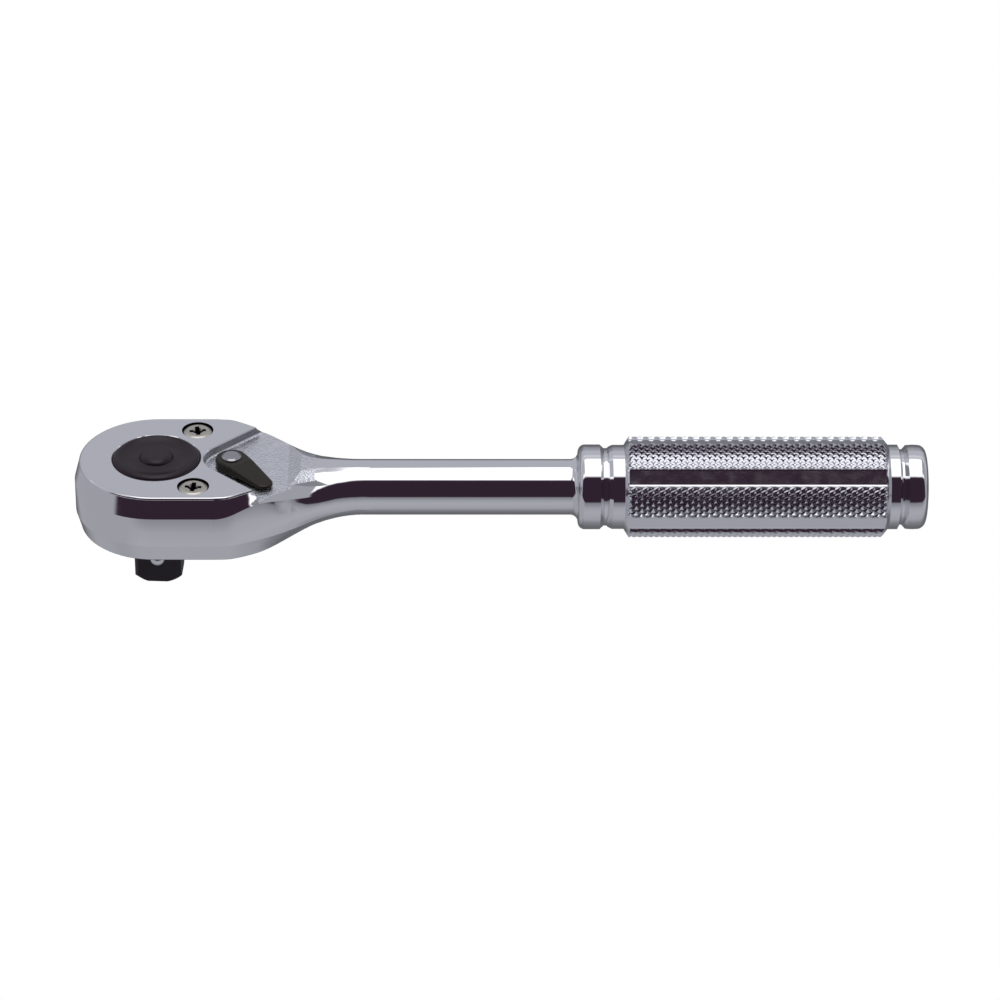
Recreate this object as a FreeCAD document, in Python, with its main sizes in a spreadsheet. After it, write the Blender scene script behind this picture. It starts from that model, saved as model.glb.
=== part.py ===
import FreeCAD, Part
import math
import os
import re
import Sketcher
from FreeCAD import Placement, Rotation, Vector

# Quarter-inch-drive reversible ratchet with a quick-release button.
# Frame, in millimetres: the origin is the centre of the drive square's end
# face, +Z runs up through the head to the lever side, +X runs along the grip.

SIZES = {
    # drive square and hub
    "square_side": 6.3,
    "square_corner": 4.12,
    "square_top": 7.5,
    "tip_chamfer": 0.7,
    "square_turn": -3.0,
    "hub_low_radius": 5.5,
    "hub_high_radius": 5.0,
    "hub_top": 16.35,
    "hub_groove_low": 8.6,
    "hub_groove_high": 9.25,
    "running_gap": 0.05,
    # ratchet gear
    "gear_low": 9.9,
    "gear_high": 14.65,
    "gear_radius": 6.9,
    "tooth_depth": 0.65,
    "tooth_count": 24,
    "washer_radius": 6.3,
    "washer_thickness": 0.25,
    # forged head
    "head_low": 8.1,
    "head_high": 17.9,
    "head_half_width": 11.15,
    "head_straight": 8.0,
    "crease_high": 15.0,
    "crease_low": 10.7,
    "cover_high": 9.7,
    "roof_low": 15.0,
    "cavity_radius": 7.15,
    "button_seat": 16.4,
    "button_bore": 5.9,
    # handle, turned about its own axis
    "axis_height": 13.3,
    "neck_radius": 3.8,
    "neck_flat": 3.69,
    "neck_start": 29.0,
    "collar_radius": 5.8,
    "grip_radius": 6.9,
    "grip_start": 64.3,
    "grip_end": 98.8,
    "flute_floor": 6.45,
    "flute_width": 2.1,
    "flute_turn": 42.5,
    "handle_end": 104.85,
    # lever pocket and lever
    "lever_x": 10.2,
    "pocket_floor": 16.6,
    "pocket_round": 3.75,
    "pocket_half_angle": 44.0,
    "lever_low": 16.72,
    "lever_high": 18.05,
    "lever_hub_radius": 2.2,
    "wing_slope": 7.0,
    "wing_edge": 0.4,
    "lever_reach": 6.9,
    "lever_tip_radius": 1.3,
    "lever_rest_angle": -50.0,
    # selector spindle
    "foot_radius": 1.25,
    "foot_low": 8.75,
    "spindle_radius": 1.6,
    "spindle_low": 9.75,
    "flange_radius": 2.4,
    "flange_low": 14.4,
    "flange_high": 14.95,
    "journal_radius": 1.9,
    "journal_high": 16.66,
    "spindle_groove_low": 15.45,
    "spindle_groove_high": 16.05,
    "rivet_radius": 1.34,
    "rivet_high": 18.36,
    "plunger_height": 12.3,
    "plunger_radius": 0.6,
    # pawl
    "pawl_low": 10.0,
    "pawl_high": 14.3,
    "pawl_tilt": 5.0,
    # cover screws
    "screw_x": 5.3,
    "screw_y": 7.35,
    "screw_head_radius": 1.93,
    "screw_head_low": 16.7,
    "screw_head_high": 17.82,
    "screw_shank_radius": 1.2,
    "screw_core_radius": 1.0,
    "screw_low": 8.25,
    "screw_edge": 0.35,
    "cross_length": 2.25,
    "cross_width": 0.6,
    "counterbore_radius": 2.16,
    # release button, pin and ball
    "button_radius": 5.85,
    "button_low": 17.45,
    "button_high": 18.62,
    "button_boss_radius": 1.75,
    "button_boss_low": 16.0,
    "pin_radius": 1.3,
    "pin_neck_radius": 0.7,
    "pin_spigot_radius": 1.0,
    "pin_high": 17.45,
    "spring_pocket_radius": 2.6,
    "spring_pocket_low": 12.8,
    "ball_radius": 1.19,
    "ball_height": 3.5,
    "ball_offset": 2.55,
}

doc = FreeCAD.newDocument("ratchet_wrench")


def fill_sheet():
    """Write every driving dimension into the sheet, one aliased cell each."""
    sheet = doc.addObject("Spreadsheet::Sheet", "sizes")
    for row, (alias, value) in enumerate(SIZES.items(), 1):
        sheet.set(f"A{row}", alias)
        sheet.set(f"B{row}", str(value))
        sheet.setAlias(f"B{row}", alias)
    doc.recompute()
    return sheet


sheet = fill_sheet()


def size(alias):
    """A driving dimension read back from the sheet."""
    return float(sheet.get(alias))


def bind(obj, prop, formula):
    """Bind a property to a formula in which sheet aliases stand alone."""
    text = re.sub(r"[a-z_]+", lambda word: "sizes." + word.group(0)
                  if word.group(0) in SIZES else word.group(0), formula)
    obj.setExpression(prop, text)


# ---------------------------------------------------------------- primitives

def cylinder(name, radius, low, high, at_x="0", at_y="0"):
    """An upright cylinder between two heights."""
    obj = doc.addObject("Part::Cylinder", name)
    bind(obj, "Radius", radius)
    bind(obj, "Height", f"({high}) - ({low})")
    bind(obj, "Placement.Base.x", at_x)
    bind(obj, "Placement.Base.y", at_y)
    bind(obj, "Placement.Base.z", low)
    return obj


def cone(name, radius_low, radius_high, low, high, at_x="0", at_y="0"):
    """An upright frustum between two heights."""
    obj = doc.addObject("Part::Cone", name)
    bind(obj, "Radius1", radius_low)
    bind(obj, "Radius2", radius_high)
    bind(obj, "Height", f"({high}) - ({low})")
    bind(obj, "Placement.Base.x", at_x)
    bind(obj, "Placement.Base.y", at_y)
    bind(obj, "Placement.Base.z", low)
    return obj


def box(name, length, width, height):
    """A box whose corner is at the origin until it is placed."""
    obj = doc.addObject("Part::Box", name)
    bind(obj, "Length", length)
    bind(obj, "Width", width)
    bind(obj, "Height", height)
    return obj


def torus(name, ring_radius, section_radius, height, at_x="0"):
    """A flat-lying sealing ring."""
    obj = doc.addObject("Part::Torus", name)
    bind(obj, "Radius1", ring_radius)
    bind(obj, "Radius2", section_radius)
    bind(obj, "Placement.Base.x", at_x)
    bind(obj, "Placement.Base.z", height)
    return obj


def fixed(name, shape):
    """A helper shape made with Part functions from sheet sizes."""
    obj = doc.addObject("Part::Feature", name)
    obj.Shape = shape
    return obj


def fuse(name, pieces):
    obj = doc.addObject("Part::MultiFuse", name)
    obj.Shapes = pieces
    return obj


def cut(name, base, tools):
    """Base minus every tool."""
    obj = doc.addObject("Part::Cut", name)
    obj.Base = base
    obj.Tool = tools[0] if len(tools) == 1 else fuse(name + "_tools", tools)
    return obj


def extrusion(name, profile, low, high):
    """A flat outline raised between two heights."""
    obj = doc.addObject("Part::Extrusion", name)
    obj.Base = profile
    obj.DirMode = "Custom"
    obj.Dir = Vector(0, 0, 1)
    obj.Solid = True
    bind(obj, "LengthFwd", f"({high}) - ({low})")
    bind(obj, "Placement.Base.z", low)
    return obj


# ------------------------------------------------------ PartDesign shortcuts

def new_body(name):
    return doc.addObject("PartDesign::Body", name)


def new_sketch(body, name, role, height="0"):
    """A sketch on one of the body's own origin planes, raised by a formula."""
    plane = next(f for f in body.Origin.OriginFeatures if f.Role == role)
    sketch = body.newObject("Sketcher::SketchObject", name)
    sketch.AttachmentSupport = (plane, [""])
    sketch.MapMode = "FlatFace"
    bind(sketch, "AttachmentOffset.Base.z", height)
    return sketch


def pad(body, sketch, length):
    feature = body.newObject("PartDesign::Pad", sketch.Name + "_pad")
    feature.Profile = sketch
    bind(feature, "Length", length)
    body.Tip = feature
    return feature


def pocket_up(body, sketch, length):
    """A pocket that cuts upward from its sketch plane."""
    feature = body.newObject("PartDesign::Pocket", sketch.Name + "_pocket")
    feature.Profile = sketch
    feature.Reversed = True
    bind(feature, "Length", length)
    body.Tip = feature
    return feature


def revolve(body, sketch, axis="V_Axis"):
    feature = body.newObject("PartDesign::Revolution", sketch.Name + "_turned")
    feature.Profile = sketch
    feature.ReferenceAxis = (sketch, [axis])
    feature.Angle = 360
    body.Tip = feature
    return feature


def add_circle(sketch, radius, at_x=0.0, at_y=0.0):
    """A sketched circle whose radius follows a sheet formula."""
    place = Vector(at_x, at_y, 0)
    index = sketch.addGeometry(Part.Circle(place, Vector(0, 0, 1), 1.0))
    number = sketch.addConstraint(Sketcher.Constraint("Radius", index, 1.0))
    bind(sketch, f"Constraints[{number}]", radius)


# ------------------------------------------------------------------ outlines

def ring_point(centre, radius, degrees):
    turn = math.radians(degrees)
    return Vector(centre[0] + radius * math.cos(turn), centre[1] + radius * math.sin(turn), 0)


def outline_edges(circles):
    """Outer tangent outline, counter-clockwise, round a loop of circles (x, y, radius)."""
    spans = []
    for here, there in zip(circles, circles[1:] + circles[:1]):
        run = math.hypot(there[0] - here[0], there[1] - here[1])
        heading = math.degrees(math.atan2(there[1] - here[1], there[0] - here[0]))
        lean = math.degrees(math.asin((here[2] - there[2]) / run))
        spans.append(heading - 90 + lean)
    edges = []
    for index, (here, there) in enumerate(zip(circles, circles[1:] + circles[:1])):
        arrive = spans[index - 1]
        leave = arrive + (spans[index] - arrive) % 360
        start = ring_point(here, here[2], arrive)
        middle = ring_point(here, here[2], (arrive + leave) / 2)
        finish = ring_point(here, here[2], leave)
        edges.append(Part.Arc(start, middle, finish))
        edges.append(Part.LineSegment(finish, ring_point(there, there[2], spans[index])))
    return edges


def outline_face(circles):
    return Part.Face(Part.Wire([edge.toShape() for edge in outline_edges(circles)]))


def smooth(value, start, finish):
    """Ease from 0 at start to 1 at finish."""
    share = min(max((value - start) / (finish - start), 0.0), 1.0)
    return share * share * (3 - 2 * share)


# --------------------------------------------------------------- ratchet body

def head_corners(half_width, top, bottom, spread):
    """Right half of a head section, top to bottom, as (y, z) about the handle axis.

    The upper bevel is steep beside the drive; spread is how far (0 to 1) it has
    opened out and climbed on its way to the neck.
    """
    rim = 0.3
    centre = size("axis_height")
    inset = 0.75 + 0.85 * spread
    crease_high = min(size("crease_high") + 1.4 * spread - centre, top - 0.6)
    crease_low = max(size("crease_low") - centre, bottom + 0.6)
    return [(half_width - inset - rim, top), (half_width - inset + 0.08, top - rim),
            (half_width, crease_high), (half_width, crease_low),
            (half_width - 0.7 + 0.08, bottom + rim), (half_width - 0.7 - rim, bottom)]


def round_corners(half_width, top, bottom):
    """The same corners on an oval, leaving narrow flats at top and bottom."""
    points = []
    for degrees in (76, 66, 24, -24, -66, -76):
        turn = math.radians(degrees)
        reach = top if degrees > 0 else -bottom
        points.append((half_width * math.cos(turn), reach * math.sin(turn)))
    return points


def between(first, second):
    return tuple((a + b) / 2 for a, b in zip(first, second))


def oval_middle(half_width, top, bottom, degrees):
    turn = math.radians(degrees)
    reach = top if degrees >= 0 else -bottom
    return (half_width * math.cos(turn), reach * math.sin(turn))


def section_half(half_width, top, bottom, round_top, round_bottom, spread=0.0):
    """Corner and middle points of the right half of a section, top to bottom."""
    square = head_corners(half_width, top, bottom, spread)
    oval = round_corners(half_width, top, bottom)
    bulge = 0.09
    square_middles = [between(a, b) for a, b in zip(square, square[1:])]
    square_middles[0] = (square_middles[0][0] + bulge, square_middles[0][1] + bulge)
    square_middles[-1] = (square_middles[-1][0] + bulge, square_middles[-1][1] - bulge)
    oval_middles = [oval_middle(half_width, top, bottom, a) for a in (71, 45, 0, -45, -71)]

    def mix(flat, full, share):
        return tuple(a * (1 - share) + b * share for a, b in zip(flat, full))

    shares = [round_top] * 3 + [round_bottom] * 3
    corners = [mix(a, b, s) for a, b, s in zip(square, oval, shares)]
    shares = [round_top, round_top, (round_top + round_bottom) / 2, round_bottom, round_bottom]
    middles = [mix(a, b, s) for a, b, s in zip(square_middles, oval_middles, shares)]
    return corners, middles


def straight_or_arc(start, middle, finish):
    """An arc through three points, or a line where they are in line."""
    if abs((middle - start).cross(finish - start).Length) < 1e-6:
        return Part.LineSegment(start, finish).toShape()
    return Part.Arc(start, middle, finish).toShape()


def section_wire(along, half_width, top, bottom, round_top, round_bottom, spread=0.0):
    """A closed cross-section at one distance along the handle."""
    corners, middles = section_half(half_width, top, bottom, round_top, round_bottom, spread)
    height = size("axis_height")

    def place(point, side=1):
        return Vector(along, side * point[0], height + point[1])

    right = [place(p) for p in corners]
    right_mid = [place(p) for p in middles]
    left = [place(p, -1) for p in corners]
    left_mid = [place(p, -1) for p in middles]
    edges = [Part.LineSegment(left[0], right[0]).toShape()]
    for index in range(5):
        edges.append(straight_or_arc(right[index], right_mid[index], right[index + 1]))
    edges.append(Part.LineSegment(right[-1], left[-1]).toShape())
    for index in reversed(range(5)):
        edges.append(straight_or_arc(left[index + 1], left_mid[index], left[index]))
    return Part.Wire(edges)


def half_section_face(half_width, top, bottom):
    """Right half of the head's section, closed along the drive axis."""
    corners, middles = section_half(half_width, top, bottom, 0, 0)
    height = size("axis_height")
    points = [Vector(0, y, height + z) for y, z in corners]
    bends = [Vector(0, y, height + z) for y, z in middles]
    upper = Vector(0, 0, height + top)
    lower = Vector(0, 0, height + bottom)
    edges = [Part.makeLine(upper, points[0])]
    for index, bend in enumerate(bends):
        edges.append(straight_or_arc(points[index], bend, points[index + 1]))
    edges += [Part.makeLine(points[-1], lower), Part.makeLine(lower, upper)]
    return Part.Face(Part.Wire(edges))


# distance along the handle, half width, top and bottom about the handle axis
HEAD_STATIONS = [
    (9.6, 11.1, 4.6, -5.2),
    (11.0, 10.75, 4.6, -5.2),
    (12.4, 10.15, 4.6, -5.2),
    (14.0, 9.45, 4.55, -5.1),
    (15.6, 8.7, 4.4, -4.9),
    (17.4, 7.8, 4.2, -4.65),
    (19.4, 6.7, 4.05, -4.4),
    (21.6, 5.5, 3.9, -4.15),
    (24.4, 4.35, 3.84, -3.95),
    (26.4, 3.92, 3.8, -3.83),
    (28.0, 3.8, 3.8, -3.8),
]


def head_forging():
    """Nose, straight sides and the blend into the round neck, as one solid."""
    half_width = size("head_half_width")
    top = size("head_high") - size("axis_height")
    bottom = size("head_low") - size("axis_height")
    start = size("head_straight")
    finish = size("neck_start")
    slab = Part.Face(section_wire(0.0, half_width, top, bottom, 0, 0)).extrude(Vector(start, 0, 0))
    nose = half_section_face(half_width, top, bottom).revolve(Vector(), Vector(0, 0, 1), 180)
    radius = size("neck_radius")
    wires = [section_wire(start, half_width, top, bottom, 0, 0)]
    for along, wide, high, low in HEAD_STATIONS:
        round_top = smooth(along, 13, 22)
        round_bottom = smooth(along, 14, 28)
        spread = smooth(along, 8, 14.5)
        wires.append(section_wire(along, wide, high, low, round_top, round_bottom, spread))
    wires.append(section_wire(finish, radius, radius, -radius, 1, 1))
    blend = Part.makeLoft(wires, True, False)
    return fixed("head_forging", nose.fuse([slab, blend]).removeSplitter())


def handle_turning():
    """Neck, collars, grip seat and end cap turned about the handle axis."""
    body = new_body("handle_turning")
    sketch = new_sketch(body, "handle_profile", "XZ_Plane")
    neck = size("neck_radius")
    collar = size("collar_radius")
    crest = size("grip_radius")
    end = size("handle_end")
    outline = [
        (size("neck_start") - 0.5, 0), (size("neck_start") - 0.5, neck), (56.3, neck),
    ]
    edges = polyline(outline)
    edges.append(arc_edge((56.3, neck), (57.05, 4.12), (57.35, 4.8)))
    edges.append(arc_edge((57.35, 4.8), (57.6, 5.5), (58.4, collar)))
    edges += polyline([
        (58.4, collar), (60.3, collar), (60.85, 5.3), (61.25, 5.3), (61.5, 5.52), (62.0, 5.75),
        (63.6, 5.75), (size("grip_start"), crest), (size("grip_end"), crest), (99.7, 5.8),
        (101.0, 5.8), (101.35, 5.16), (101.65, 5.16), (102.2, 5.74), (103.1, 5.8), (103.75, 5.76),
    ])
    edges.append(arc_edge((103.75, 5.76), (104.55, 5.42), (end, 4.6)))
    edges += polyline([(end, 4.6), (end, 0), (size("neck_start") - 0.5, 0)])
    sketch.addGeometry(edges)
    bind(body, "Placement.Base.z", "axis_height")
    revolve(body, sketch, "H_Axis")
    return body


def polyline(points):
    vectors = [Vector(x, y, 0) for x, y in points]
    return [Part.LineSegment(a, b) for a, b in zip(vectors, vectors[1:])]


def arc_edge(start, middle, finish):
    return Part.Arc(*(Vector(x, y, 0) for x, y in (start, middle, finish)))


def handle_cutters():
    """Flats on the neck and six shallow flutes along the grip."""
    cutters = []
    reach = 6.0
    for side, turn in (("top", 0), ("bottom", 180)):
        tool = box(f"neck_flat_{side}", "28.6", "12", f"{reach}")
        shift = Vector(size("neck_start") - 0.5, -6, size("neck_flat"))
        tool.Placement = around_handle(turn, shift)
        cutters.append(tool)
    for index in range(6):
        tool = box(f"flute_{index}", "grip_end - grip_start + 1.4", "flute_width", "2")
        shift = Vector(size("grip_start") - 0.7, -size("flute_width") / 2, size("flute_floor"))
        tool.Placement = around_handle(90 - size("flute_turn") + 60 * index, shift)
        cutters.append(tool)
    return cutters


def around_handle(degrees, shift):
    """Placement of a tool moved by shift, then turned about the handle axis."""
    centre = Vector(0, 0, size("axis_height"))
    turn = Placement(centre, Rotation(Vector(1, 0, 0), degrees))
    return turn.multiply(Placement(shift, Rotation()))


def pawl_room(extra):
    """Circles round the pawl: its pivot boss and the tips of its two arms."""
    pivot = size("lever_x")
    return [(pivot, 0, 3.1 + extra[0]), (6.8, 3.9, 0.7 + extra[1]), (6.8, -3.9, 0.7 + extra[1])]


def pocket_wire(offset, height):
    """Plan outline of the lever's recess: a round tip and two spreading walls."""
    pivot = size("lever_x")
    radius = size("pocket_round") + offset
    half = size("pocket_half_angle")
    upper = ring_point((pivot, 0), radius, 90 + half)
    lower = ring_point((pivot, 0), radius, -90 - half)
    run = ring_point((0, 0), 24, half)
    far_upper = upper + run
    far_lower = lower + Vector(run.x, -run.y, 0)
    tip = Vector(pivot - radius, 0, 0)
    wire = Part.Wire([Part.Arc(upper, tip, lower).toShape(), Part.makeLine(lower, far_lower),
                      Part.makeLine(far_lower, far_upper), Part.makeLine(far_upper, upper)])
    wire.translate(Vector(0, 0, height))
    return wire


def lever_pocket_tool():
    """V-shaped recess, round at its tip, with a ramp up to the neck."""
    floor = size("pocket_floor")
    brink = size("head_high")
    broken_edge = 0.14
    solid = Part.Face(pocket_wire(0, 0)).extrude(Vector(0, 0, 4))
    solid.translate(Vector(0, 0, floor))
    foot = [edge for edge in solid.Edges
            if abs(edge.BoundBox.ZMax - floor) < 1e-6 and edge.BoundBox.XMin < 20]
    solid = solid.makeFillet(0.4, foot)
    lip = Part.makeLoft([pocket_wire(0, brink - broken_edge),
                         pocket_wire(2 * broken_edge, brink + broken_edge)], True, True)
    solid = solid.fuse(lip)
    ramp = [(17.9, floor - 1), (17.9, floor), (19.6, floor + 0.62), (21.5, 18.2), (50, 18.2),
            (50, floor - 1)]
    points = [Vector(x, -20, z) for x, z in ramp]
    keep = Part.Face(Part.makePolygon(points + points[:1])).extrude(Vector(0, 40, 0))
    return fixed("lever_pocket", solid.cut(keep))


def ratchet_body():
    """One forging: head, neck, collars and grip, with its bores and cavities."""
    blank = fuse("body_blank", [head_forging(), handle_turning()])
    gap = "running_gap"
    cover_hole = fixed("cover_recess_outline", outline_face(cover_circles(0.06)))
    pawl_hole = fixed("pawl_cavity_outline", outline_face(pawl_room((0.35, 0.65))))
    cutters = [
        cylinder("gear_cavity", "cavity_radius", "cover_high - 0.1", "roof_low"),
        cylinder("hub_bore", "hub_high_radius + " + gap, "roof_low - 0.1", "button_seat + 0.1"),
        cylinder("button_counterbore", "button_bore", "button_seat", "head_high + 1"),
        cone("button_bore_edge", "button_bore", "button_bore + 0.25", "head_high - 0.2",
             "head_high + 0.05"),
        extrusion("cover_recess", cover_hole, "head_low - 1", "cover_high"),
        extrusion("pawl_cavity", pawl_hole, "cover_high - 0.1", "roof_low"),
        cylinder("spindle_bore", "journal_radius + " + gap, "roof_low - 0.1",
                 "pocket_floor + 0.1", "lever_x"),
        lever_pocket_tool(),
    ]
    for side, sign in (("left", "1"), ("right", "-1")):
        at_y = f"{sign} * screw_y"
        cutters.append(cylinder(f"counterbore_{side}", "counterbore_radius", "screw_head_low",
                                "head_high + 1", "screw_x", at_y))
        cutters.append(cylinder(f"clearance_{side}", "screw_shank_radius + 0.1",
                                "cover_high - 0.1", "screw_head_low + 0.1", "screw_x", at_y))
    return cut("ratchet_body", blank, cutters + handle_cutters())


# ---------------------------------------------------------------- cover plate

def cover_circles(extra=0.0):
    """Circles that the cover's outline wraps: hub, two screws and the spindle foot."""
    screw = (size("screw_x"), size("screw_y"))
    return [(0, 0, 8.7 + extra), (screw[0], -screw[1], 2.3 + extra),
            (size("lever_x"), 0, 4.4 + extra), (screw[0], screw[1], 2.3 + extra)]


def cover_plate():
    """Inset plate under the head that carries the hub and the spindle foot."""
    body = new_body("cover_plate")
    outline = new_sketch(body, "cover_outline", "XY_Plane", "head_low")
    outline.addGeometry(outline_edges(cover_circles()))
    pad(body, outline, "cover_high - head_low")
    holes = new_sketch(body, "cover_holes", "XY_Plane", "head_low - 0.5")
    add_circle(holes, "hub_low_radius + running_gap")
    for side in (1, -1):
        add_circle(holes, "screw_core_radius + 0.02", size("screw_x"), side * size("screw_y"))
    pocket_up(body, holes, "cover_high - head_low + 1")
    foot = new_sketch(body, "foot_bearing", "XY_Plane", "foot_low - 0.05")
    add_circle(foot, "foot_radius + running_gap", size("lever_x"))
    pocket_up(body, foot, "2")
    return body


def phillips_tools(name, at_x, at_y, turn):
    """Two crossed blades and a point, sunk into a screw head."""
    tools = []
    top = size("screw_head_high")
    for index in range(2):
        blade = box(f"{name}_blade_{index}", "cross_length", "cross_width", "2")
        centre = Placement(Vector(at_x, at_y, top - 0.8), Rotation(Vector(0, 0, 1), turn + 90 * index))
        corner = Vector(-size("cross_length") / 2, -size("cross_width") / 2, 0)
        blade.Placement = centre.multiply(Placement(corner, Rotation()))
        tools.append(blade)
    tools.append(cone(f"{name}_point", "0.2", "0.8", "screw_head_high - 1.0",
                      "screw_head_high + 0.05", str(at_x), str(at_y)))
    return tools


def cover_screw(side, sign, turn):
    """One cross-recess screw, from its head down into the cover plate."""
    at_y = f"{sign} * screw_y"
    name = f"cover_screw_{side}"
    pieces = [
        cylinder(f"{name}_head", "screw_head_radius", "screw_head_low", "screw_head_high - 0.15",
                 "screw_x", at_y),
        cone(f"{name}_rim", "screw_head_radius", "screw_head_radius - screw_edge",
             "screw_head_high - 0.15", "screw_head_high", "screw_x", at_y),
        cylinder(f"{name}_shank", "screw_shank_radius", "cover_high + 0.02",
                 "screw_head_low + 0.1", "screw_x", at_y),
        cylinder(f"{name}_thread", "screw_core_radius", "screw_low", "cover_high + 0.1",
                 "screw_x", at_y),
    ]
    tools = phillips_tools(name, size("screw_x"), sign * size("screw_y"), turn)
    return cut(name, fuse(f"{name}_blank", pieces), tools)


def cover_screws():
    """The two identical screws, kept as separate solids in one node."""
    group = doc.addObject("Part::Compound", "cover_screws")
    group.Links = [cover_screw("left", 1, 8), cover_screw("right", -1, -6)]
    return group


# ----------------------------------------------------------------- drive gear

def gear_outline(offset=0.0):
    """Symmetrical trapezoid teeth, with a gap centred on +X."""
    count = int(size("tooth_count"))
    tip = size("gear_radius") + offset
    root = size("gear_radius") - size("tooth_depth") + offset
    pitch = 360.0 / count
    tip_half = 1.4 + math.degrees(offset / tip)
    root_half = 1.3 - math.degrees(0.41 * offset / root)
    points = []
    for index in range(count):
        centre = (index + 0.5) * pitch
        points.append(ring_point((0, 0), root, centre - pitch / 2 + root_half))
        points.append(ring_point((0, 0), tip, centre - tip_half))
        points.append(ring_point((0, 0), tip, centre + tip_half))
        points.append(ring_point((0, 0), root, centre + pitch / 2 - root_half))
    return Part.Face(Part.makePolygon(points + points[:1]))


def drive_square():
    """Square with rounded corners and a chamfered end, turned a little at rest."""
    square = box("square_bar", "square_side", "square_side", "square_top + 0.1")
    turn = Rotation(Vector(0, 0, 1), size("square_turn"))
    half = size("square_side") / 2
    square.Placement = Placement(Vector(), turn).multiply(Placement(Vector(-half, -half, 0), Rotation()))
    corners = fuse("square_limit", [
        cylinder("square_round", "square_corner", "tip_chamfer", "square_top + 0.1"),
        cone("square_nose", "square_corner - tip_chamfer", "square_corner", "0", "tip_chamfer"),
    ])
    common = doc.addObject("Part::MultiCommon", "drive_square")
    common.Shapes = [square, corners]
    return common


def ball_hole():
    """Cross hole for the ball, narrowed at its mouth so that the ball stays in."""
    heading = size("square_turn") - 90
    out = Vector(math.cos(math.radians(heading)), math.sin(math.radians(heading)), 0)
    start = Vector(0, 0, size("ball_height")) + out * 0.9
    lip = Vector(0, 0, size("ball_height")) + out * 2.75
    bore = Part.makeCylinder(1.22, 1.86, start, out)
    mouth = Part.makeCone(1.22, 1.045, 0.42, lip, out)
    return fixed("ball_hole", bore.fuse(mouth))


def drive_gear():
    """Gear, hub journals and drive square in one piece."""
    teeth = extrusion("gear_teeth", fixed("gear_profile", gear_outline()), "gear_low", "gear_high")
    blank = fuse("gear_blank", [
        drive_square(),
        cylinder("hub_shoulder", "hub_low_radius", "square_top", "gear_low + 0.1"),
        teeth,
        cylinder("hub_journal", "hub_high_radius", "gear_high - 0.1", "hub_top"),
    ])
    groove_outer = cylinder("seal_groove_blank", "hub_low_radius + 0.5", "hub_groove_low",
                            "hub_groove_high")
    groove_core = cylinder("seal_groove_core", "hub_low_radius - 0.6", "hub_groove_low - 0.1",
                           "hub_groove_high + 0.1")
    tools = [
        cut("seal_groove", groove_outer, [groove_core]),
        cylinder("pin_bore", "pin_radius + 0.04", "ball_height - 2.9", "hub_top + 1"),
        cylinder("spring_pocket", "spring_pocket_radius", "spring_pocket_low", "hub_top + 1"),
        ball_hole(),
    ]
    return cut("drive_gear", blank, tools)


def gear_thrust_washer():
    """Thin washer between the gear and the roof of the head."""
    body = new_body("gear_thrust_washer")
    sketch = new_sketch(body, "washer_ring", "XY_Plane", "gear_high + 0.05")
    add_circle(sketch, "washer_radius")
    add_circle(sketch, "hub_high_radius + 0.08")
    pad(body, sketch, "washer_thickness")
    return body


# -------------------------------------------------------------- quick release

def release_button():
    """Dished disc with a raised centre; its boss takes the pin."""
    body = new_body("release_button")
    sketch = new_sketch(body, "button_profile", "XZ_Plane")
    radius = size("button_radius")
    low = size("button_low")
    boss = size("button_boss_radius")
    socket = size("pin_spigot_radius") + 0.02
    top = size("button_high")
    edges = polyline([(0, top), (1.45, top - 0.02)])
    edges.append(arc_edge((1.45, top - 0.02), (2.05, 18.4), (2.35, 18.0)))
    edges.append(arc_edge((2.35, 18.0), (3.6, 17.86), (4.95, 18.24)))
    edges.append(arc_edge((4.95, 18.24), (5.15, 18.31), (5.36, 18.25)))
    edges.append(arc_edge((5.36, 18.25), (5.68, 18.07), (radius, 17.72)))
    edges += polyline([
        (radius, 17.72), (radius, low), (boss, low), (boss, size("button_boss_low")),
        (socket, size("button_boss_low")), (socket, size("pin_high") + 0.05),
        (0, size("pin_high") + 0.05), (0, top),
    ])
    sketch.addGeometry(edges)
    revolve(body, sketch)
    return body


def release_pin():
    """Pin through the hub; its waist lets the ball drop in when pressed."""
    low = "ball_height - 1.7"
    ramp = "ball_height - 0.27"
    waist = "ball_height + 0.73"
    waist_end = "ball_height + 2.2"
    stem = "ball_height + 2.6"
    return fuse("release_pin", [
        cone("pin_end", "pin_radius - 0.3", "pin_radius", low, low + " + 0.3"),
        cylinder("pin_lower", "pin_radius", low + " + 0.3", ramp),
        cone("pin_ramp", "pin_radius", "pin_neck_radius", ramp, waist),
        cylinder("pin_neck", "pin_neck_radius", waist, waist_end),
        cone("pin_return", "pin_neck_radius", "pin_radius", waist_end, stem),
        cylinder("pin_stem", "pin_radius", stem, "button_boss_low - 0.02"),
        cylinder("pin_spigot", "pin_spigot_radius", "button_boss_low - 0.1", "pin_high"),
    ])


def coil(radius, wire_radius, low, high, turns):
    """A plain compression coil of round wire standing on the XY plane."""
    span = high - low - 2 * wire_radius
    helix = Part.makeHelix(span / turns, span, radius)
    helix.translate(Vector(0, 0, low + wire_radius))
    section = Part.Wire(Part.makeCircle(wire_radius, Vector(radius, 0, low + wire_radius), Vector(0, 1, 0)))
    return Part.Wire(helix.Edges).makePipeShell([section], True, True)


def button_spring():
    """Coil that lifts the button."""
    low = size("spring_pocket_low") + 0.03
    return fixed("button_spring", coil(2.1, 0.22, low, size("button_low") - 0.03, 5.5))


def detent_ball():
    """Ball that holds a socket on the square."""
    ball = doc.addObject("Part::Sphere", "detent_ball")
    bind(ball, "Radius", "ball_radius")
    bind(ball, "Placement.Base.x", "ball_offset * sin(square_turn)")
    bind(ball, "Placement.Base.y", "-ball_offset * cos(square_turn)")
    bind(ball, "Placement.Base.z", "ball_height")
    return ball


# ----------------------------------------------------------- reversing action

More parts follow.
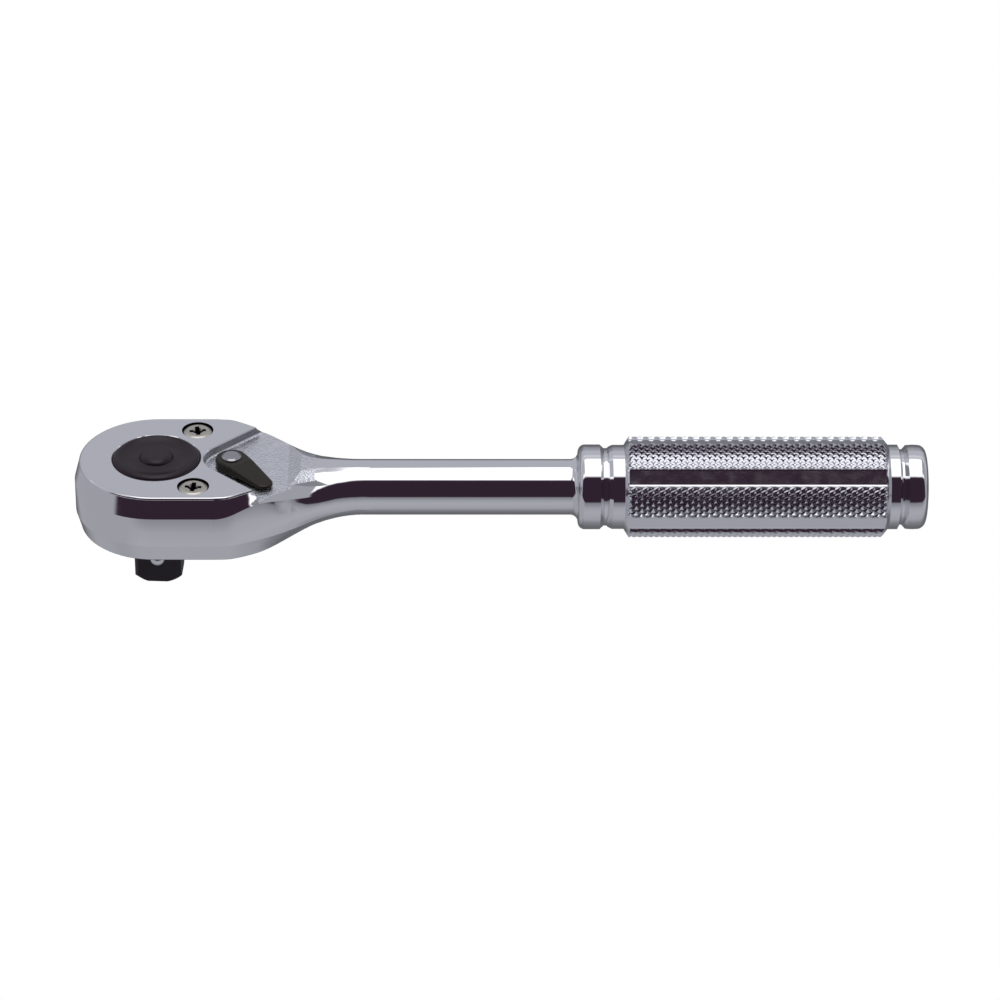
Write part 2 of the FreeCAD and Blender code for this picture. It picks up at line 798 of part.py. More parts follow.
def about_pivot(degrees):
    """Turn about the selector axis."""
    return Placement(Vector(), Rotation(Vector(0, 0, 1), degrees), Vector(size("lever_x"), 0, 0))


def pawl():
    """Double-ended rocking pawl, drawn with its left arm in mesh."""
    low = size("pawl_low")
    high = size("pawl_high")
    tilt = size("pawl_tilt")
    pivot = size("lever_x")
    block = outline_face(pawl_room((0, 0))).extrude(Vector(0, 0, high - low))
    block.translate(Vector(0, 0, low))
    block = block.cut(nose_clearance(low, high))
    mesh_tool = gear_outline(0.05).extrude(Vector(0, 0, high - low + 2))
    mesh_tool.translate(Vector(0, 0, low - 1))
    for engaged in (tilt, -tilt):
        tool = mesh_tool.copy()
        tool.Placement = about_pivot(-engaged).multiply(tool.Placement)
        block = block.cut(tool)
    bore = Part.makeCylinder(size("spindle_radius") + 0.05, 10, Vector(pivot, 0, low - 1))
    block = block.cut([bore, plunger_track()])
    block = max(block.Solids, key=lambda solid: solid.Volume)
    feature = fixed("pawl", block)
    feature.Placement = about_pivot(tilt)
    return feature


def nose_clearance(low, high):
    """Room between the pawl's hollow front and the gear's tips."""
    round_tool = Part.makeCylinder(size("gear_radius") + 0.14, high - low + 2, Vector(0, 0, low - 1))
    window = Part.makeBox(10, 3.6, high - low + 2, Vector(0, -1.8, low - 1))
    return round_tool.common(window)


def plunger_track():
    """Slot behind the bore that the spring plunger's nose runs in."""
    height = 2 * size("plunger_radius") + 0.3
    low = size("plunger_height") - height / 2
    start = Vector(size("lever_x"), 0, low)
    spread = 80
    sector = Part.makeCylinder(2.45, height, start, Vector(0, 0, 1), 2 * spread)
    sector.rotate(start, Vector(0, 0, 1), -spread)
    return sector


def lever_turned(obj):
    """Put a piece drawn along +X at the lever's rest angle."""
    obj.Placement = about_pivot(size("lever_rest_angle")).multiply(obj.Placement)
    return obj


def selector_spindle():
    """Stepped spindle: foot, pawl journal, flange, roof journal and riveted top."""
    at_x = "lever_x"
    blank = fuse("spindle_blank", [
        cylinder("spindle_foot", "foot_radius", "foot_low", "spindle_low + 0.1", at_x),
        cylinder("spindle_shank", "spindle_radius", "spindle_low", "flange_low + 0.1", at_x),
        cylinder("spindle_flange", "flange_radius", "flange_low", "flange_high", at_x),
        cylinder("spindle_journal", "journal_radius", "flange_high - 0.1", "journal_high", at_x),
        cylinder("spindle_rivet", "rivet_radius", "journal_high - 0.1", "rivet_high - 0.16", at_x),
        cone("spindle_rivet_dome", "rivet_radius", "rivet_radius - 0.28", "rivet_high - 0.16",
             "rivet_high", at_x),
    ])
    groove_outer = cylinder("spindle_groove_blank", "journal_radius + 0.5", "spindle_groove_low",
                            "spindle_groove_high", at_x)
    groove_core = cylinder("spindle_groove_core", "journal_radius - 0.48",
                           "spindle_groove_low - 0.1", "spindle_groove_high + 0.1", at_x)
    groove = cut("spindle_groove", groove_outer, [groove_core])
    start = Vector(size("lever_x") - 1.1, 0, size("plunger_height"))
    hole = Part.makeCylinder(size("plunger_radius") + 0.03, 3.2, start, Vector(1, 0, 0))
    hole.rotate(Vector(size("lever_x"), 0, 0), Vector(0, 0, 1), size("lever_rest_angle"))
    return cut("selector_spindle", blank, [groove, fixed("plunger_hole", hole)])


def selector_plunger():
    """Round-nosed pin that the spring pushes against the back of the pawl."""
    radius = size("plunger_radius")
    start = Vector(size("lever_x") + 0.25, 0, size("plunger_height"))
    nose = start + Vector(1.52, 0, 0)
    solid = Part.makeCylinder(radius, 1.52, start, Vector(1, 0, 0))
    solid = solid.fuse(Part.makeSphere(radius, nose)).removeSplitter()
    return lever_turned(fixed("selector_plunger", solid))


def plunger_spring():
    """Small coil behind the plunger."""
    solid = coil(0.42, 0.1, 0, 1.28, 4)
    solid.rotate(Vector(), Vector(0, 1, 0), 90)
    solid.translate(Vector(size("lever_x") - 1.06, 0, size("plunger_height")))
    return lever_turned(fixed("plunger_spring", solid))


def reversing_lever():
    """Thumb lever: a flat hub riveted to the spindle and a tapering, sloping wing."""
    pivot = size("lever_x")
    low = size("lever_low")
    high = size("lever_high")
    hub = (pivot, 0, size("lever_hub_radius"))
    tip = (pivot + size("lever_reach"), 0, size("lever_tip_radius"))
    solid = outline_face([hub, tip]).extrude(Vector(0, 0, high - low))
    solid.translate(Vector(0, 0, low))
    slope = Part.makeBox(20, 10, 5, Vector(0, -5, 0))
    slope.rotate(Vector(), Vector(0, 1, 0), size("wing_slope"))
    slope.translate(Vector(pivot + size("lever_hub_radius"), 0, high))
    undercut = Part.makeBox(20, 10, 0.25, Vector(pivot + 3.2, -5, low))
    solid = solid.cut([slope, undercut])
    rim = [edge for edge in solid.Edges if edge.BoundBox.ZMin > low + 0.3]
    solid = solid.makeFillet(size("wing_edge"), rim)
    bore = Part.makeCylinder(size("rivet_radius") + 0.01, 4, Vector(pivot, 0, low - 1))
    return lever_turned(fixed("reversing_lever", solid.cut(bore)))


# ----------------------------------------------------------------- the object

NODES = [
    ratchet_body(),
    cover_plate(),
    cover_screws(),
    drive_gear(),
    gear_thrust_washer(),
    torus("hub_friction_ring", "hub_low_radius - 0.29", "0.29",
          "(hub_groove_low + hub_groove_high) / 2"),
    release_button(),
    release_pin(),
    button_spring(),
    detent_ball(),
    pawl(),
    selector_spindle(),
    torus("spindle_seal_ring", "journal_radius - 0.245", "0.225",
          "(spindle_groove_low + spindle_groove_high) / 2", "lever_x"),
    selector_plunger(),
    plunger_spring(),
    reversing_lever(),
]


def check_document():
    """Stop if any object failed to compute or any sub-part is not a sound solid."""
    doc.recompute()
    for obj in doc.Objects:
        if "Invalid" in obj.State or "Error" in obj.State:
            raise RuntimeError(f"{obj.Name} did not compute: {obj.State}")
    for obj in NODES:
        if obj.Shape.isNull() or not obj.Shape.isValid() or not obj.Shape.Solids:
            raise RuntimeError(f"{obj.Label} is not a valid solid")


def export_nodes():
    os.makedirs("parts", exist_ok=True)
    for obj in NODES:
        obj.Shape.exportStep(f"parts/{obj.Label}.step")
        print(obj.Label, len(obj.Shape.Solids), round(obj.Shape.Volume, 2))


check_document()
export_nodes()
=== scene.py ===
"""Looks of the quarter-inch-drive ratchet wrench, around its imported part.

Metres, in the part's own frame: the drive square points down, +X runs along
the grip and the thumb lever is on the +Z side.
"""

import math

import bpy
import numpy as np
from mathutils import Matrix, Vector


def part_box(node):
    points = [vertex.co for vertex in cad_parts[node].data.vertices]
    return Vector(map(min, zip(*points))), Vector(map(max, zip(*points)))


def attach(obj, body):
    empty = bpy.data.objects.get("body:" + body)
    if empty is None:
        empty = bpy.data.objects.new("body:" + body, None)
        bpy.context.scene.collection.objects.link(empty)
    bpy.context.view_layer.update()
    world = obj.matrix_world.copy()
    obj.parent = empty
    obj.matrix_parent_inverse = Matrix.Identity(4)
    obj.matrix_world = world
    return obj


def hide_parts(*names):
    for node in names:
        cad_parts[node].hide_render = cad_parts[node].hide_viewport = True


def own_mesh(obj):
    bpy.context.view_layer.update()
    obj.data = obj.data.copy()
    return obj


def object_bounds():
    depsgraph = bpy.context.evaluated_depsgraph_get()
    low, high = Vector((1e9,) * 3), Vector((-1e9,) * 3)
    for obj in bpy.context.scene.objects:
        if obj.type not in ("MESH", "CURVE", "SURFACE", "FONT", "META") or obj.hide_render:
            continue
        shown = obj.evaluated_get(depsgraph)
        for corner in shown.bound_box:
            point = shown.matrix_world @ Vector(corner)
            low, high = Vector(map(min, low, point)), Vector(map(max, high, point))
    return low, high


MM = 0.001

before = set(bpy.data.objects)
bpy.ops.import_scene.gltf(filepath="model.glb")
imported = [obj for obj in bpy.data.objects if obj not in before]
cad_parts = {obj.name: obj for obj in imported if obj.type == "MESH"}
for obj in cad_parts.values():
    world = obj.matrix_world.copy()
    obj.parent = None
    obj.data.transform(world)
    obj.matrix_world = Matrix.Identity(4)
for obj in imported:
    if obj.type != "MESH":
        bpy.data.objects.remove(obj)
cad_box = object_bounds()
_, BODY_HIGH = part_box("ratchet_body")

# ------------------------------------------------------------------- sizes

# The grip. Angles are in degrees.
GRIP_CREST = 6.9 * MM
AXIS_HEIGHT = BODY_HIGH.z - GRIP_CREST
CONE_START = BODY_HIGH.x - 41.25 * MM
GRIP_START = BODY_HIGH.x - 40.55 * MM
GRIP_END = BODY_HIGH.x - 6.05 * MM
CONE_END = BODY_HIGH.x - 5.15 * MM
CONE_START_RADIUS = 5.75 * MM
CONE_END_RADIUS = 5.8 * MM
KNURL_VALLEY = 6.5 * MM
KNURL_FLAT = 0.75
KNURL_LENGTH = 1.533 * MM
KNURL_STARTS = 48
SCREW_FACE = BODY_HIGH.z - 2.38 * MM
FLUTES = 6
FLUTE_FLOOR = 6.45 * MM
FLUTE_HEADING = 42.5
FLUTE_EDGE = 9.0
LIP_EDGE = 10.9
LIP_RADIUS = 6.66 * MM
SAMPLES_PER_KNURL = 8
ROWS_PAST_START = 3
ROWS_PAST_END = 4
END_MARGINS = (0.04 * MM, 0.03 * MM)
CREST_CLEARANCE = 0.02 * MM
NECK_RADIUS = 5 * MM

# The lever's recess, the bore and the counterbores, which only choose where the rough floor
# finish and the painted shade on the recess walls, the bore and the counterbores go.
HEAD_TOP = 17.9 * MM
LEVER_PIVOT = 10.2 * MM
POCKET_FLOOR = 16.5 * MM
POCKET_TIP = 3.76 * MM
POCKET_LEFT = -3.8 * MM
POCKET_END = 21.5 * MM
POCKET_HALF_ANGLE = math.radians(44)
BORE_RADIUS = 6.1 * MM
BORE_FLOOR = 9.0 * MM
SCREW_PLACE = (5.3 * MM, 7.35 * MM)
COUNTERBORE = 2.2 * MM
LIP_MARGIN = 0.15 * MM

# The head's flat sides are shaded as slightly crowned. Tilts are in degrees.
CROWN_LOW = 10.7 * MM
CROWN_HIGH = 15.0 * MM
CROWN_LOW_TILT = -4
CROWN_HIGH_TILT = 7
CROWN_END = 24 * MM
CROWN_FADE = 6 * MM
SIDE_BAND = (8.5 * MM, 16.4 * MM)
UPRIGHT = 0.12

DRIVE_TIP_NEAR_EDGE = 3.6 * MM
SAME_PLACE = 0.001 * MM
SAME_STATION = 0.002 * MM


# ---------------------------------------------------------------- node trees

def link_nodes(tree):
    """Two short helpers bound to one node tree: make a node, and join sockets."""
    def node(kind, **settings):
        made = tree.nodes.new(kind)
        for key, value in settings.items():
            setattr(made, key, value)
        return made

    def join(source, target):
        tree.links.new(source, target)

    return node, join


def math_node(node, join, operation, first, second=None):
    """A Math node fed by sockets or numbers."""
    made = node("ShaderNodeMath", operation=operation)
    for socket, value in zip(made.inputs, (first, second)):
        if value is None:
            continue
        if isinstance(value, (int, float)):
            socket.default_value = value
        else:
            join(value, socket)
    return made.outputs[0]


def ramp(node, join, factor, stops, interpolation="LINEAR"):
    """A colour ramp with (position, colour) stops."""
    made = node("ShaderNodeValToRGB")
    made.color_ramp.interpolation = interpolation
    elements = made.color_ramp.elements
    while len(elements) < len(stops):
        elements.new(0.5)
    for element, (position, colour) in zip(elements, stops):
        element.position = position
        element.color = (*colour, 1)
    join(factor, made.inputs["Fac"])
    return made.outputs["Color"]


def mix_colour(node, join, factor, first, second):
    """A colour mix by a factor socket, where each colour is a socket or a value."""
    made = node("ShaderNodeMix", data_type="RGBA")
    join(factor, made.inputs["Factor"])
    for socket, value in zip(made.inputs[6:8], (first, second)):
        if isinstance(value, tuple):
            socket.default_value = (*value, 1)
        else:
            join(value, socket)
    return made.outputs[2]


def turns(node, join, across, along):
    """The angle of a direction in a plane, as 0 to 1 for -180 to 180 degrees."""
    angle = math_node(node, join, "ARCTAN2", across, along)
    return math_node(node, join, "ADD", math_node(node, join, "DIVIDE", angle, 2 * math.pi), 0.5)


def at(degrees):
    """Where an angle stands on a ramp fed by turns()."""
    return degrees / 360 + 0.5


def grey(value, tint=0.0):
    """A grey that leans to blue with a positive tint."""
    return (value * (1 - tint), value * (1 - tint * 0.7), value * (1 + tint))


# ------------------------------------------------------------------- studio

OFF = (0, 0, 0)
ON = (1, 1, 1)
DARK = (0.035, 0.020, 0.034)
WHITE = (1.5, 1.5, 1.55)
ROOM_BANDS = [
    (-180, grey(0.15, 0.05)), (-110, grey(0.16, 0.05)), (-85, grey(0.26, 0.05)),
    (-68, grey(0.43, 0.05)), (-44, grey(0.48, 0.05)), (-30, grey(0.44, 0.05)),
    (-14, grey(0.26, 0.05)), (-10.5, DARK), (57, DARK), (62, WHITE),
    (112, WHITE), (116, grey(0.62, 0.04)), (120, grey(0.62, 0.04)),
    (124, grey(0.8, 0.04)), (130, grey(0.56, 0.05)), (150, grey(0.52, 0.06)),
    (180, grey(0.15, 0.05)),
]
DARK_OPENING = [(-67, OFF), (-66, ON), (60, ON), (64, OFF)]
BANDS_ZONE = [(-12, OFF), (-10.5, ON), (119, ON), (121, OFF)]
SOFT_BOX_WIDTH = [(0.335, OFF), (0.35, ON), (0.665, ON), (0.68, OFF)]
BELOW_LEFT = [(0.2, ON), (0.34, OFF)]
SOFT_BOX_EDGE = math.sin(math.radians(55))
ROOM_LEFT = grey(0.50, 0.05)
ROOM_RIGHT_LOW = grey(0.42, 0.05)
ROOM_RIGHT_HIGH = grey(0.28, 0.05)
TABLE_LEFT = grey(0.42, 0.05)


def placed(stops):
    """The same stops with their degrees as ramp positions."""
    return [(at(degrees), colour) for degrees, colour in stops]


def studio_world():
    """Soft box overhead, dark room in front, grey table below, pale wall behind."""
    world = bpy.data.worlds.new("studio")
    bpy.context.scene.world = world
    world.use_nodes = True
    tree = world.node_tree
    tree.nodes.clear()
    node, join = link_nodes(tree)
    direction = node("ShaderNodeSeparateXYZ")
    join(node("ShaderNodeTexCoord").outputs["Generated"], direction.inputs[0])
    x, y, z = direction.outputs
    front = math_node(node, join, "MULTIPLY", y, -1.0)
    around = turns(node, join, z, front)
    side = turns(node, join, x, front)
    lean = math_node(node, join, "ADD", math_node(node, join, "DIVIDE", x, 2), 0.5)

    high = math_node(node, join, "GREATER_THAN", z, SOFT_BOX_EDGE)
    reach = node("ShaderNodeMix", data_type="FLOAT")
    join(high, reach.inputs["Factor"])
    join(ramp(node, join, side, placed(DARK_OPENING)), reach.inputs[2])
    join(ramp(node, join, lean, SOFT_BOX_WIDTH), reach.inputs[3])
    shut = math_node(node, join, "SUBTRACT", 1.0, reach.outputs[0])
    zone = ramp(node, join, around, placed(BANDS_ZONE))
    beside = math_node(node, join, "MULTIPLY", zone, shut)

    right = mix_colour(node, join, high, ROOM_RIGHT_LOW, ROOM_RIGHT_HIGH)
    to_right = math_node(node, join, "GREATER_THAN", x, 0.0)
    ends = mix_colour(node, join, to_right, ROOM_LEFT, right)
    room = mix_colour(node, join, beside, ramp(node, join, around, placed(ROOM_BANDS)), ends)

    left = ramp(node, join, lean, BELOW_LEFT)
    low = math_node(node, join, "LESS_THAN", z, 0.0)
    outside = math_node(node, join, "SUBTRACT", 1.0, zone)
    left_low = math_node(node, join, "MULTIPLY", left, low)
    table = math_node(node, join, "MULTIPLY", left_low, outside)

    light = node("ShaderNodeBackground")
    join(mix_colour(node, join, table, room, TABLE_LEFT), light.inputs["Color"])
    backdrop = node("ShaderNodeBackground")
    backdrop.inputs["Color"].default_value = (1, 1, 1, 1)
    chosen = node("ShaderNodeMixShader")
    join(node("ShaderNodeLightPath").outputs["Is Camera Ray"], chosen.inputs[0])
    join(light.outputs[0], chosen.inputs[1])
    join(backdrop.outputs[0], chosen.inputs[2])
    join(chosen.outputs[0], node("ShaderNodeOutputWorld").inputs["Surface"])


KEY_SIZE = (0.5, 0.3)
KEY_WATTS = 2.0
KEY_PLACE = Vector((0.02, -0.05, 0.6))
KEY_AIM = Vector((0.04, 0, 0))
FLOOR_REACH = 2.0


def key_light():
    """A soft overhead panel that models the black and the rough surfaces."""
    lamp = bpy.data.lights.new("soft_key", "AREA")
    lamp.shape = "RECTANGLE"
    lamp.size, lamp.size_y = KEY_SIZE
    lamp.energy = KEY_WATTS
    holder = bpy.data.objects.new("soft_key", lamp)
    bpy.context.scene.collection.objects.link(holder)
    holder.location = KEY_PLACE
    holder.visible_glossy = False
    holder.rotation_euler = (KEY_AIM - KEY_PLACE).to_track_quat("-Z", "Y").to_euler()


def floor():
    """Plain pale floor that the drive tip and the grip both rest on."""
    drive_low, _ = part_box("drive_gear")
    tip = Vector((DRIVE_TIP_NEAR_EDGE, 0, drive_low.z))
    rest = Vector((GRIP_END, 0, AXIS_HEIGHT - GRIP_CREST))
    slope = math.atan2(rest.z - tip.z, rest.x - tip.x)
    mesh = bpy.data.meshes.new("floor")
    signs = ((-1, -1), (1, -1), (1, 1), (-1, 1))
    corners = [(x * FLOOR_REACH, y * FLOOR_REACH, 0) for x, y in signs]
    mesh.from_pydata(corners, [], [(0, 1, 2, 3)])
    plane = bpy.data.objects.new("floor", mesh)
    bpy.context.scene.collection.objects.link(plane)
    plane.matrix_world = Matrix.Translation(tip) @ Matrix.Rotation(-slope, 4, "Y")
    material = bpy.data.materials.new("pale_floor")
    material.use_nodes = True
    tree = material.node_tree
    tree.nodes.clear()
    node, join = link_nodes(tree)
    glow = node("ShaderNodeEmission")
    glow.inputs["Color"].default_value = (1, 1, 1, 1)
    join(glow.outputs[0], node("ShaderNodeOutputMaterial").inputs["Surface"])
    mesh.materials.append(material)
    plane.visible_glossy = False
    plane.visible_diffuse = False
    plane.visible_shadow = False


AZIMUTH = math.radians(-1.5)
ELEVATION = math.radians(31.8)
ROLL = math.radians(0.8)
DISTANCE = 0.575
FRAME_RIGHT = -0.09 * MM
FRAME_UP = 0.92 * MM
LENS = 151.11
SENSOR = 36


def camera():
    """Long lens above and in front of the wrench, aimed near its centre."""
    low, high = cad_box
    flat = math.cos(ELEVATION)
    back = Vector((math.sin(AZIMUTH) * flat, -math.cos(AZIMUTH) * flat, math.sin(ELEVATION)))
    level = Vector((math.cos(AZIMUTH), math.sin(AZIMUTH), 0))
    rise = back.cross(level)
    right = level * math.cos(ROLL) + rise * math.sin(ROLL)
    up = rise * math.cos(ROLL) - level * math.sin(ROLL)
    place = (low + high) / 2 + right * FRAME_RIGHT + up * FRAME_UP + back * DISTANCE
    data = bpy.data.cameras.new("camera")
    data.lens = LENS
    data.sensor_width = SENSOR
    data.clip_start = 0.01
    holder = bpy.data.objects.new("camera", data)
    bpy.context.scene.collection.objects.link(holder)
    turn = Matrix((right, up, back)).transposed().to_4x4()
    holder.matrix_world = Matrix.Translation(place) @ turn
    bpy.context.scene.camera = holder


# ---------------------------------------------------------------- materials

DRIFT_SCALE = 600
WAVE_SCALE = 220
NICKEL = (0.60, 0.57, 0.50)
# Painted shade: near black colour for the screw's cross recess and the gap round its head, set by
# depth below the screw face.
RECESS_PAINTED_SHADE = (0.02, 0.018, 0.02)
SHADE_DEPTHS_IN_RECESS = (0.4 * MM, 0.12 * MM)


def surface(name, colour, metallic, roughness, spread=0.03, wave=0.0, grain=0.0, grain_size=0.25):
    """A shader whose roughness drifts, with long waves and fine grain as bump."""
    material = bpy.data.materials.new(name)
    material.use_nodes = True
    tree = material.node_tree
    node, join = link_nodes(tree)
    shader = tree.nodes["Principled BSDF"]
    shader.inputs["Base Color"].default_value = (*colour, 1)
    shader.inputs["Metallic"].default_value = metallic
    place = node("ShaderNodeTexCoord").outputs["Object"]
    drift = node("ShaderNodeTexNoise")
    drift.inputs["Scale"].default_value = DRIFT_SCALE
    drift.inputs["Detail"].default_value = 4
    join(place, drift.inputs["Vector"])
    rough = node("ShaderNodeMapRange")
    rough.inputs["From Min"].default_value = 0.3
    rough.inputs["From Max"].default_value = 0.7
    rough.inputs["To Min"].default_value = max(roughness - spread, 0.02)
    rough.inputs["To Max"].default_value = roughness + spread
    join(drift.outputs["Fac"], rough.inputs["Value"])
    join(rough.outputs[0], shader.inputs["Roughness"])
    normal = None
    for strength, scale, detail in ((wave, WAVE_SCALE, 0), (grain, 1 / (grain_size * MM), 3)):
        if not strength:
            continue
        noise = node("ShaderNodeTexNoise")
        noise.inputs["Scale"].default_value = scale
        noise.inputs["Detail"].default_value = detail
        join(place, noise.inputs["Vector"])
        bump = node("ShaderNodeBump")
        bump.inputs["Strength"].default_value = 1.0
        bump.inputs["Distance"].default_value = strength * MM
        join(noise.outputs["Fac"], bump.inputs["Height"])
        if normal:
            join(normal, bump.inputs["Normal"])
        normal = bump.outputs[0]
    if normal:
        join(normal, shader.inputs["Normal"])
    return material


def painted_shade_screw_finish():
    """Nickel with painted shade: its colour goes dark down in the cross recess and the gap round
    the head.
    """
    material = surface("nickel_screw", NICKEL, 1.0, 0.3, 0.06, grain=0.001)
    tree = material.node_tree
    node, join = link_nodes(tree)
    parts = node("ShaderNodeSeparateXYZ")
    join(node("ShaderNodeTexCoord").outputs["Object"], parts.inputs[0])
    depth = node("ShaderNodeMapRange")
    depth.inputs["From Min"].default_value = SCREW_FACE - SHADE_DEPTHS_IN_RECESS[0]
    depth.inputs["From Max"].default_value = SCREW_FACE - SHADE_DEPTHS_IN_RECESS[1]
    join(parts.outputs[2], depth.inputs["Value"])
    # Painted shade: the colour ramps from near black deep down to nickel at the screw face.
    shade = ramp(node, join, depth.outputs[0], [(0.0, RECESS_PAINTED_SHADE), (1.0, NICKEL)])
    join(shade, tree.nodes["Principled BSDF"].inputs["Base Color"])
    return material


METAL = {
    "chrome": ((0.80, 0.80, 0.82), 0.05, 0.02, {"wave": 0.004, "grain": 0.0002}),
    "plated_rough": ((0.80, 0.81, 0.85), 0.3, 0.12, {"grain": 0.09, "grain_size": 0.3}),
    # The next finish is the rough plating darkened to about a third: painted shade on the lever
    # recess's walls.
    "painted_wall_shade": ((0.33, 0.32, 0.34), 0.34, 0.12, {"grain": 0.06, "grain_size": 0.3}),
    # The next finish is painted shade: near black plating for the button's bore and the screws'
    # counterbores.
    "painted_bore_shade": ((0.05, 0.045, 0.05), 0.4, 0.08, {"grain": 0.001}),
    "chrome_knurl": ((0.78, 0.78, 0.81), 0.1, 0.04, {"grain": 0.0012}),
    "satin_steel": ((0.45, 0.45, 0.46), 0.32, 0.06, {"grain": 0.001}),
    "spindle_steel": ((0.42, 0.42, 0.44), 0.25, 0.06, {"grain": 0.001}),
    "ball_steel": ((0.75, 0.75, 0.76), 0.1, 0.03, {"grain": 0.0003}),
    "bare_steel": ((0.40, 0.40, 0.41), 0.35, 0.08, {"grain": 0.002}),
    "spring_steel": ((0.35, 0.35, 0.36), 0.3, 0.06, {"grain": 0.001}),
}
FORGING_SURFACES_AND_SHADES = ("chrome", "plated_rough", "chrome_knurl", "painted_bore_shade", "painted_wall_shade")
CHROME, ROUGH, KNURL, BORE_SHADE_SLOT, RECESS_SIDE_SHADE = range(len(FORGING_SURFACES_AND_SHADES))


def all_materials():
    """One material per slot, and those that only parts of the forging use."""
    made = {
        name: surface(name, colour, 1.0, roughness, spread, **bumps)
        for name, (colour, roughness, spread, bumps) in METAL.items()
    }
    oxide, lever, rubber = (0.018, 0.011, 0.017), (0.028, 0.024, 0.019), (0.012, 0.012, 0.012)
    made["nickel_screw"] = painted_shade_screw_finish()
    made["black_oxide"] = surface("black_oxide", oxide, 0.4, 0.34, 0.06, grain=0.001)
    made["black_lever"] = surface("black_lever", lever, 0.6, 0.24, 0.06, grain=0.002)
    made["seal_rubber"] = surface("seal_rubber", rubber, 0.0, 0.6, 0.1, grain=0.002)
    return made


NODE_FINISH = {
    "cover_plate": "satin_steel",
    "cover_screws": "nickel_screw",
    "drive_gear": "black_oxide",
    "release_button": "black_oxide",
    "reversing_lever": "black_lever",
    "selector_spindle": "spindle_steel",
    "detent_ball": "ball_steel",
    "pawl": "bare_steel",
    "release_pin": "bare_steel",
    "selector_plunger": "bare_steel",
    "gear_thrust_washer": "bare_steel",
    "plunger_spring": "spring_steel",
    "hub_friction_ring": "seal_rubber",
    "spindle_seal_ring": "seal_rubber",
}


def finish_nodes(materials):
    """Puts its finish on each CAD node that stays."""
    for name, finish in NODE_FINISH.items():
        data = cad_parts[name].data
        data.materials.clear()
        data.materials.append(materials[finish])


# ----------------------------------------------------------------- the grip

def knurl_height(angle, along):
    """Share of the way from valley to crest, 0 to 1, of crossed V grooves."""
    lead = angle * KNURL_STARTS / 360
    rows = (along - GRIP_START) / KNURL_LENGTH
    first = np.abs((lead + rows + 0.5) % 1 - 0.5) * 2
    second = np.abs((lead - rows + 0.5) % 1 - 0.5) * 2
    return np.minimum(first, second)


def grip_radius(turn, along):
    """Radius of the grip at an angle past a flute's centre and a place along it."""
    span = 360 / FLUTES
    away = np.abs((turn + span / 2) % span - span / 2)
    floor_radius = FLUTE_FLOOR / np.cos(np.radians(np.minimum(away, FLUTE_EDGE)))
    share = np.clip((away - FLUTE_EDGE) / (LIP_EDGE - FLUTE_EDGE), 0, 1)
    lip = floor_radius + (LIP_RADIUS - floor_radius) * share
    height = np.minimum(knurl_height(turn, along), KNURL_FLAT) / KNURL_FLAT
    panel = KNURL_VALLEY + (GRIP_CREST - CREST_CLEARANCE - KNURL_VALLEY) * height
    return np.where(away < LIP_EDGE, lip, panel)


def cone_limit(along):
    """Largest radius that the end cones leave."""
    front_share = (along - CONE_START) / (GRIP_START - CONE_START)
    rear_share = (CONE_END - along) / (CONE_END - GRIP_END)
    front = CONE_START_RADIUS + (GRIP_CREST - CONE_START_RADIUS) * front_share
    rear = CONE_END_RADIUS + (GRIP_CREST - CONE_END_RADIUS) * rear_share
    return np.minimum(np.minimum(front, rear), GRIP_CREST)


def grip_grid():
    """Rings of points from the front cone to the rear cone, as an array ring by column."""
    step = 360 / KNURL_STARTS / SAMPLES_PER_KNURL
    turns = np.arange(0, 360, step)
    rows = KNURL_LENGTH / SAMPLES_PER_KNURL
    start = CONE_START + END_MARGINS[0]
    stop = CONE_END - END_MARGINS[1]
    inner = np.arange(GRIP_START - ROWS_PAST_START * rows, GRIP_END + ROWS_PAST_END * rows, rows)
    stations = np.concatenate([[start], inner, [stop]])
    turn, along = np.meshgrid(turns, stations)
    radius = np.minimum(grip_radius(turn, along), cone_limit(along))
    heading = np.radians(turn + FLUTE_HEADING)
    across = -radius * np.cos(heading)
    height = AXIS_HEIGHT + radius * np.sin(heading)
    return np.stack([along, across, height], axis=-1)


def grid_triangles(rings, columns, offset):
    """Two triangles per cell, split along the knurl's valleys and ridges."""
    faces = []
    half = SAMPLES_PER_KNURL // 2
    for ring in range(rings - 1):
        for column in range(columns):
            right = (column + 1) % columns
            a = offset + ring * columns + column
            b = offset + ring * columns + right
            c = offset + (ring + 1) * columns + right
            d = offset + (ring + 1) * columns + column
            rising = ((column // half) + ((ring - 1 - ROWS_PAST_START) // half)) % 2 == 0
            faces += [(a, b, c), (a, c, d)] if rising else [(a, b, d), (b, c, d)]
    return faces


def band_triangles(points, first, second):
    """Triangles between two rings of points about the handle axis, walked by angle."""
    def by_angle(ring):
        angles = [math.atan2(points[i][2] - AXIS_HEIGHT, points[i][1]) for i in ring]
        order = sorted(range(len(ring)), key=lambda k: angles[k])
        return [ring[k] for k in order], [angles[k] for k in order]

    ring_a, angle_a = by_angle(first)
    ring_b, angle_b = by_angle(second)
    faces = []
    i = j = 0
    while i < len(ring_a) or j < len(ring_b):
        next_a = angle_a[i + 1] if i + 1 < len(ring_a) else angle_a[0] + 2 * math.pi
        next_b = angle_b[j + 1] if j + 1 < len(ring_b) else angle_b[0] + 2 * math.pi
        here_a, here_b = ring_a[i % len(ring_a)], ring_b[j % len(ring_b)]
        if i < len(ring_a) and (j >= len(ring_b) or next_a <= next_b):
            faces.append((here_a, ring_a[(i + 1) % len(ring_a)], here_b))
            i += 1
        else:
            faces.append((here_a, ring_b[(j + 1) % len(ring_b)], here_b))
            j += 1
    return faces


